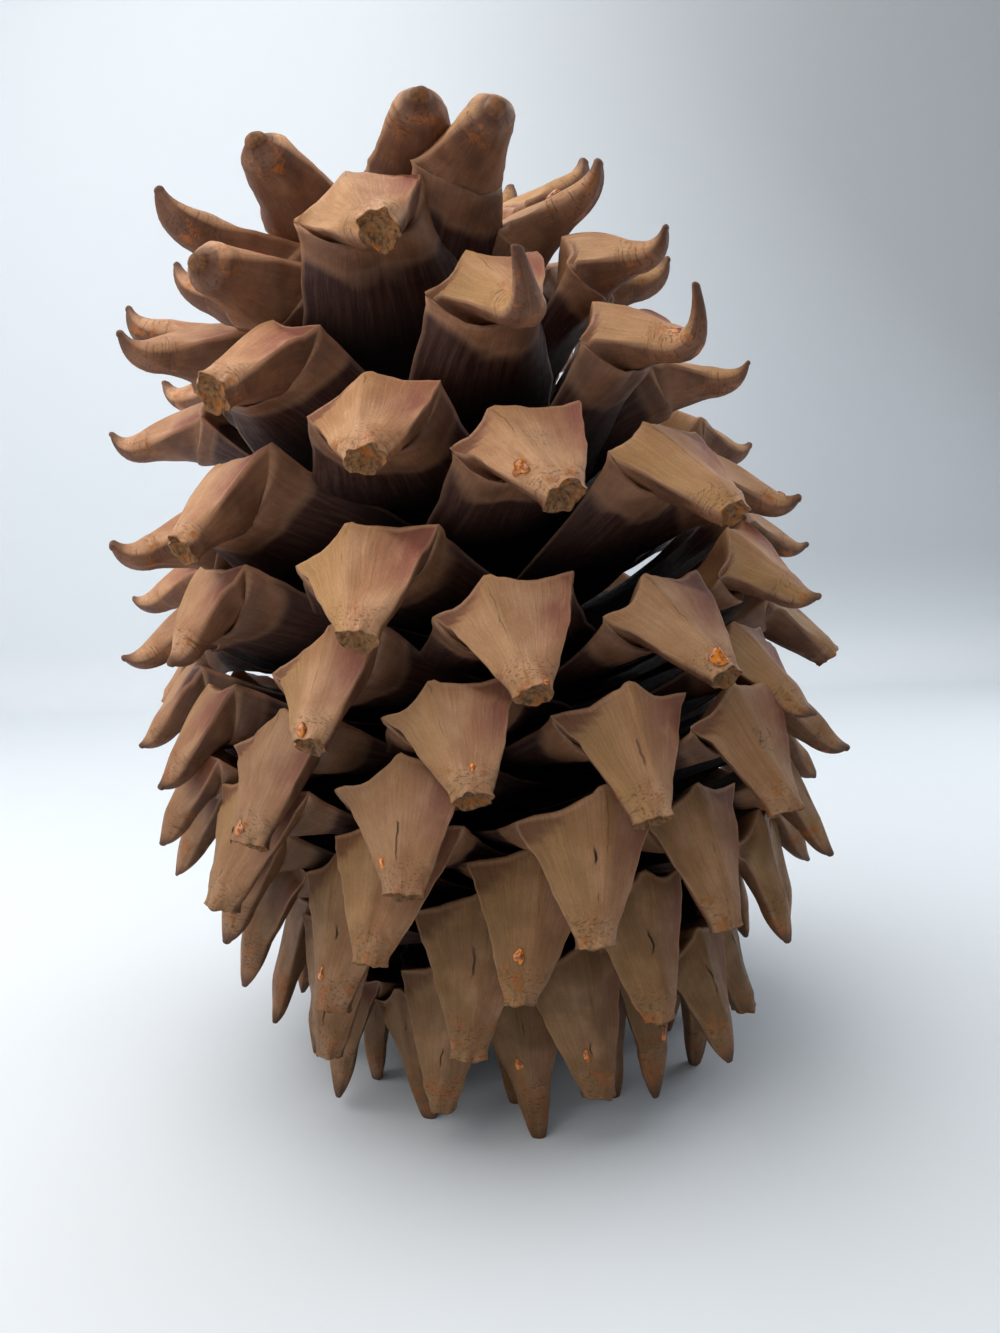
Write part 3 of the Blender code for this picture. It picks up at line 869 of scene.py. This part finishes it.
class Wood(Nodes):
    """The scale wood: tan faces with russet corners, plum blades, broken claw ends, cracks and stains."""

    def __init__(self, name):
        super().__init__(name)
        self.share, self.across, self.top = [self.attribute(key) for key in ("share", "across", "top")]
        self.seed, self.low, self.broken = [self.attribute(key) for key in ("seed", "low", "broken")]
        self.grain = self.attribute("grain", "Vector")
        place = self.tree.nodes.new("ShaderNodeTexCoord").outputs["Object"]
        self.place = self.stretch(place, (MM_PER_M,) * 3)
        self.off_ridge = self.maths("SUBTRACT", self.across, self.attribute("ridge"))
        self.patches = self.noise(self.grain, 0.09, 3.0)
        self.fibres = self.noise(self.stretch(self.grain, (1.5, 0.08, 1.0)), 1.0, 5.0, 0.65)
        self.fine = self.noise(self.stretch(self.grain, (5.0, 0.5, 1.0)), 1.0, 3.0, 0.6)
        self.mottle = self.noise(self.grain, 0.55, 4.0, 0.6)
        self.speckle = self.noise(self.place, 2.2, 3.0, 0.6)
        self.torn = self.noise(self.place, 1.1, 4.0, 0.6)
        self.end_place = self.ramp(self.share, 0.75, 1.0)
        self.blade_start = self.wavy_blade_start()

    def along_grain(self, rate, detail=1.0, seed_rate=1.0):
        """Noise that changes only along the scale."""
        return self.noise(self.stretch(self.grain, (0.0, rate, seed_rate)), 1.0, detail)

    def wavy_blade_start(self):
        """The share along the scale, shifted so that the blade's colour starts along a wavy curve."""
        curve = self.times(self.maths("SUBTRACT", 1.0, self.times(self.across, self.across)), -0.1)
        drift = self.ramp(self.noise(self.grain, 0.06, 2.0), 0.3, 0.7, -0.04, 0.04)
        start = self.maths("ADD", self.share, drift)
        return self.maths("SUBTRACT", start, self.times(curve, self.maths("SUBTRACT", 1.0, self.top)))

    def midline(self):
        """A thin broken line that wanders along the ridge."""
        wander = self.noise(self.stretch(self.grain, (0.05, 0.4, 1.0)), 1.0, 2.0)
        wander = self.ramp(wander, 0.2, 0.8, -0.03, 0.03)
        line = self.ramp(self.maths("ABSOLUTE", self.maths("ADD", self.off_ridge, wander)), 0.022, 0.006)
        line = self.times(line, self.ramp(self.along_grain(0.16), 0.42, 0.6, 0.0, 0.55))
        return self.times(line, self.ramp(self.share, 0.85, 0.5))

    def face_colour(self):
        """Tan, sallow to the left and along the ridge, russet to the right and on the folded corner."""
        face = self.mix(self.ramp(self.patches, 0.35, 0.68), TAN, PALE_TAN)
        left = self.times(self.ramp(self.across, 0.25, -0.6), self.ramp(self.seed, 0.1, 0.8, 0.2, 0.85))
        face = self.mix(left, face, SALLOW)
        blush = self.ramp(self.noise(self.grain, 0.16, 3.0), 0.28, 0.58, 0.4, 1.0)
        blush = self.times(self.ramp(self.across, 0.05, 0.95), blush)
        face = self.mix(self.times(blush, self.ramp(self.share, 0.95, 0.3)), face, RUSSET)
        rib = self.ramp(self.maths("ABSOLUTE", self.off_ridge), 0.16, 0.01)
        face = self.mix(self.times(rib, self.ramp(self.share, 0.9, 0.3, 0.0, 0.4)), face, SALLOW)
        face = self.mix(self.times(self.attribute("fold"), 0.75), face, FOLD_RED)
        return self.mix(self.midline(), face, UMBER)

    def under_colour(self):
        # The underside: its own browner colour, made darker still as painted shade.
        under = self.mix(self.ramp(self.patches, 0.3, 0.7), UNDER_PALE, UNDER_DARK)
        return self.mix(self.ramp(self.mottle, 0.5, 0.8, 0.0, 0.35), under, UMBER)

    def with_blade(self, colour):
        """The colour, with the plum blade, its pale rim, painted shade that darkens the blade towards the
        root, and the brown of the lower scales.
        """
        start = self.blade_start
        rim = self.times(self.ramp(start, -0.15, -0.12), self.ramp(start, -0.08, -0.11))
        blade = self.mix(self.ramp(self.fibres, 0.35, 0.75), PLUM, BLADE_GREY)
        colour = self.mix(self.ramp(start, -0.10, -0.14), colour, blade)
        colour = self.mix(self.times(rim, 0.12), colour, BOUNDARY)
        # Painted shade: the blade turns near black towards the root, deep inside the cone.
        colour = self.mix(self.ramp(self.share, -0.2, -0.5), colour, ROOT_PAINTED_SHADE)
        old = self.ramp(self.noise(self.place, 0.12, 3.0), 0.3, 0.62, 0.15, 0.7)
        old = self.times(self.ramp(self.low, 0.4, 0.8), old)
        return self.mix(self.times(old, self.ramp(start, -0.14, -0.1)), colour, OLD_BROWN)

    def with_edges(self, colour):
        """The colour, with paler side edges and crest."""
        near = self.maths("ABSOLUTE", self.across)
        edge = self.times(self.ramp(near, 0.955, 1.0), self.ramp(self.share, -0.1, 0.0, 0.2, 0.5))
        crest = self.times(self.ramp(self.share, -0.035, 0.0), self.ramp(self.share, 0.05, 0.01))
        return self.mix(self.maths("MAXIMUM", edge, self.times(crest, 0.55)), colour, PALE_TAN)

    def with_claw(self, colour, stain, scuffs):
        """The colour, with resin stains, scuffs, dark hook tips and the wood of broken ends."""
        colour = self.mix(self.times(stain, 0.75), colour, RESIN_STAIN)
        colour = self.mix(self.times(scuffs, 0.4), colour, UMBER)
        tip_dark = self.times(self.ramp(self.share, 1.45, 1.95), self.attribute("hooked"))
        colour = self.mix(self.times(tip_dark, 0.8), colour, HOOK_TIP)
        torn = self.mix(self.ramp(self.torn, 0.32, 0.72), BROKEN_WOOD, CUP_DARK)
        torn = self.mix(self.ramp(self.noise(self.place, 0.45, 3.0), 0.52, 0.66, 0.0, 0.7), torn, RESIN_STAIN)
        return self.mix(self.broken, colour, torn)

    def stain(self):
        """Where resin has soaked into the claw."""
        field = self.maths("ADD", self.noise(self.place, 0.3, 3.0), self.ramp(self.low, 0.4, 0.9, 0.0, 0.07))
        return self.times(self.ramp(field, 0.55, 0.7), self.end_place)

    def scuffs(self):
        """Short dark scuffs across the claw."""
        field = self.noise(self.stretch(self.grain, (0.7, 2.4, 1.0)), 1.0, 4.0, 0.7)
        return self.times(self.ramp(field, 0.56, 0.64), self.end_place)

    def scar(self):
        """A squiggle in the middle of the face."""
        squiggle = self.noise(self.place, 0.42, 2.0, 0.5, 1.2)
        squiggle = self.maths("ABSOLUTE", self.maths("SUBTRACT", squiggle, 0.5))
        beside = self.maths("ABSOLUTE", self.maths("SUBTRACT", self.across, 0.1))
        above = self.maths("ABSOLUTE", self.maths("SUBTRACT", self.share, 0.48))
        spot = self.times(self.ramp(beside, 0.34, 0.2), self.ramp(above, 0.16, 0.08))
        scar = self.times(self.ramp(squiggle, 0.035, 0.012), self.times(spot, self.attribute("scar")))
        return self.times(scar, self.top)

    def slit(self):
        """A drying crack down the face of the lower scales."""
        wander = self.maths("SUBTRACT", self.times(self.along_grain(0.22, 2.0), 0.3), 0.15)
        slit = self.ramp(self.maths("ABSOLUTE", self.maths("SUBTRACT", self.across, wander)), 0.032, 0.01)
        slit = self.times(slit, self.ramp(self.along_grain(0.12, 1.0, 1.3), 0.52, 0.6))
        reach = self.times(self.ramp(self.share, 0.25, 0.45), self.ramp(self.share, 0.95, 0.8))
        slit = self.times(slit, reach)
        return self.times(slit, self.times(self.top, self.ramp(self.low, 0.42, 0.6)))

    def shade(self):
        """Grain, speckle, painted light on the upper scales and painted shade on the lower ones, and each
        scale's own tone, as one factor.
        """
        shade = self.ramp(self.fibres, 0.25, 0.75, 0.84, 1.1)
        shade = self.times(shade, self.ramp(self.fine, 0.3, 0.7, 0.94, 1.05))
        shade = self.times(shade, self.ramp(self.speckle, 0.3, 0.7, 0.93, 1.05))
        # Painted light and shade: the upper scales are made brighter and the lower scales darker.
        shade = self.times(shade, self.ramp(self.low, 0.22, 0.5, 1.16, 0.78))
        shade = self.times(shade, self.ramp(self.low, 0.55, 1.0, 1.0, 0.74))
        return self.times(shade, self.ramp(self.seed, 0.0, 1.0, 0.92, 1.06))

    def roughness(self, stain):
        rough = self.ramp(self.mottle, 0.3, 0.7, 0.5, 0.64)
        rough = self.maths("ADD", rough, self.times(self.ramp(self.blade_start, -0.15, -0.2), 0.12))
        rough = self.maths("ADD", rough, self.times(self.broken, 0.25))
        return self.maths("SUBTRACT", rough, self.times(stain, 0.2))

    def relief(self, slit, scar, scuffs):
        """Fibres and torn wood raised, with slits, scars and scuffs sunk."""
        height = self.maths("ADD", self.fibres, self.times(self.fine, 0.4))
        height = self.maths("ADD", height, self.times(self.speckle, 0.35))
        for mark, depth in ((slit, 3.0), (scar, 1.5), (scuffs, 0.8)):
            height = self.maths("SUBTRACT", height, self.times(mark, depth))
        height = self.maths("ADD", height, self.times(self.times(self.broken, self.torn), 2.4))
        return self.bump(height, *WOOD_BUMP)


def wood_material():
    n = Wood("cone_wood_fine")
    stain, scuffs, scar, slit = n.stain(), n.scuffs(), n.scar(), n.slit()
    colour = n.with_blade(n.mix(n.top, n.under_colour(), n.face_colour()))
    colour = n.with_claw(n.with_edges(colour), stain, scuffs)
    colour = n.mix(scar, colour, SCAR)
    colour = n.mix(1.0, colour, n.grey(n.shade()), "MULTIPLY")
    n.join(n.mix(slit, colour, CRACK), n.shader.inputs["Base Color"])
    n.join(n.roughness(stain), n.shader.inputs["Roughness"])
    n.shader.inputs["Specular IOR Level"].default_value = 0.3
    n.join(n.relief(slit, scar, scuffs), n.shader.inputs["Normal"])
    return n.material


def resin_material():
    n = Nodes("amber_resin")
    place = n.tree.nodes.new("ShaderNodeTexCoord").outputs["Object"]
    cloud = n.noise(place, 900.0, 2.0)
    n.join(n.mix(n.ramp(cloud, 0.35, 0.65), AMBER, DARK_AMBER), n.shader.inputs["Base Color"])
    n.shader.inputs["Roughness"].default_value = 0.14
    n.shader.inputs["Coat Weight"].default_value = 0.6
    n.shader.inputs["Coat Roughness"].default_value = 0.05
    n.join(n.bump(cloud, *RESIN_BUMP), n.shader.inputs["Normal"])
    return n.material


def core_material():
    n = Nodes("axis_bark")
    place = n.tree.nodes.new("ShaderNodeTexCoord").outputs["Object"]
    rough = n.noise(place, 260.0, 5.0, 0.65)
    # Painted shade: the bark is darkened towards black because it lies deep inside the cone.
    n.join(n.mix(n.ramp(rough, 0.35, 0.7), BARK_DARK, BARK_BROWN), n.shader.inputs["Base Color"])
    n.shader.inputs["Roughness"].default_value = 0.8
    n.join(n.bump(rough, *BARK_BUMP), n.shader.inputs["Normal"])
    return n.material


def bark_radius(part):
    """The axis's radius at a share of its height: a foot, a tapering shaft and a rounded end."""
    dome = max(0.0, part - 1.0 + BARK_DOME_SHARE) / BARK_DOME_SHARE
    radius = (BARK_RADIUS + (BARK_TIP_RADIUS - BARK_RADIUS) * part**2) * math.sqrt(max(0.02, 1.0 - dome**2))
    return radius * (1.0 - BARK_FOOT_NARROWING * max(0.0, BARK_FOOT_SHARE - part) / BARK_FOOT_SHARE)


def grow_axis(material):
    """The central axis as a bent, tapering spindle with a rough surface."""
    draw = np.random.default_rng(DETAIL_SEED)
    turns = np.linspace(0.0, 2.0 * math.pi, BARK_SIDES, endpoint=False)
    rings = []
    for part in np.linspace(0.0, 1.0, BARK_STATIONS):
        centre = np.array(axis_point(AXIS_BOTTOM + part * (BARK_TOP - AXIS_BOTTOM)))
        radius = bark_radius(part) + draw.normal(0.0, BARK_ROUGHNESS, BARK_SIDES)
        ring = np.stack([np.cos(turns) * radius, np.sin(turns) * radius, 0.0 * turns], axis=-1)
        rings.append(centre + ring)
    points = np.concatenate(rings) + np.array(CENTRE_SHIFT)
    quads = grid_faces(BARK_STATIONS, BARK_SIDES, 0)[:, ::-1]
    last = (BARK_STATIONS - 1) * BARK_SIDES
    ends = [list(range(BARK_SIDES - 1, -1, -1)), list(range(last, last + BARK_SIDES))]
    dress(build_piece("woody_axis", points, quads, ends, {}, np.zeros((len(points), 3))), material)


def wall_material(name, colour, roughness):
    n = Nodes(name)
    place = n.tree.nodes.new("ShaderNodeTexCoord").outputs["Object"]
    parts = n.tree.nodes.new("ShaderNodeSeparateXYZ")
    n.join(place, parts.inputs[0])
    # Painted shade: the wall, not the floor, turns darker towards the right.
    darker = tuple(part * WALL_DARKENING for part in colour[:3]) + (1.0,)
    right = n.ramp(parts.outputs["X"], *WALL_SHADE_RIGHT)
    aside = n.times(right, n.ramp(parts.outputs["Z"], *WALL_SHADE_UP))
    n.join(n.mix(aside, colour, darker), n.shader.inputs["Base Color"])
    n.shader.inputs["Roughness"].default_value = roughness
    return n.material


def make_stage():
    """A pale floor that turns up into a pale wall behind the part."""
    profile = [(-FLOOR_REACH, 0.0), (WALL_DISTANCE - COVE_RADIUS, 0.0)]
    for k in range(1, COVE_STEPS + 1):
        turn = math.pi / 2.0 * k / COVE_STEPS
        away = WALL_DISTANCE - COVE_RADIUS + COVE_RADIUS * math.sin(turn)
        profile.append((away, COVE_RADIUS * (1.0 - math.cos(turn))))
    profile.append((WALL_DISTANCE, WALL_HEIGHT))
    points = [(x, y, z) for y, z in profile for x in (-FLOOR_REACH, FLOOR_REACH)]
    faces = [(2 * k, 2 * k + 1, 2 * k + 3, 2 * k + 2) for k in range(len(profile) - 1)]
    mesh = bpy.data.meshes.new("backdrop")
    mesh.from_pydata(points, [], faces)
    mesh.shade_smooth()
    backdrop = bpy.data.objects.new("backdrop", mesh)
    bpy.context.scene.collection.objects.link(backdrop)
    mesh.materials.append(wall_material("pale_backdrop", WALL_WHITE, WALL_ROUGHNESS))


def add_area(name, place, aim, size, power, colour):
    light = bpy.data.lights.new(name, "AREA")
    light.shape = "RECTANGLE"
    light.size, light.size_y = size
    light.energy = power
    light.color = colour
    item = bpy.data.objects.new(name, light)
    item.location = place
    item.rotation_euler = (Vector(aim) - Vector(place)).to_track_quat("-Z", "Y").to_euler()
    bpy.context.scene.collection.objects.link(item)


def light_scene():
    world = bpy.data.worlds.new("soft_room")
    world.use_nodes = True
    backdrop = world.node_tree.nodes["Background"]
    backdrop.inputs["Color"].default_value = ROOM_COLOUR
    backdrop.inputs["Strength"].default_value = ROOM_STRENGTH
    bpy.context.scene.world = world
    for name, (place, aim, size, power, colour) in LIGHTS.items():
        add_area(name, place, aim, size, power, colour)


def place_camera():
    lens = bpy.data.cameras.new("view")
    lens.sensor_fit = "VERTICAL"
    lens.sensor_height = SENSOR_MM
    lens.lens = FOCAL_PX / IMAGE_HEIGHT_PX * SENSOR_MM
    lens.clip_start = 0.01
    camera = bpy.data.objects.new("view", lens)
    bpy.context.scene.collection.objects.link(camera)
    pitch, roll = math.radians(CAMERA_PITCH_DEG), math.radians(CAMERA_ROLL_DEG)
    turn = Matrix.Rotation(math.radians(90.0) - pitch, 4, "X") @ Matrix.Rotation(-roll, 4, "Z")
    camera.matrix_world = Matrix.Translation(CAMERA_PLACE) @ turn
    bpy.context.scene.camera = camera


bpy.context.scene.view_settings.view_transform = "Standard"
place_camera()
make_stage()
light_scene()
grids = grow_scales(wood_material())
grow_axis(core_material())
make_resin(grids, resin_material())
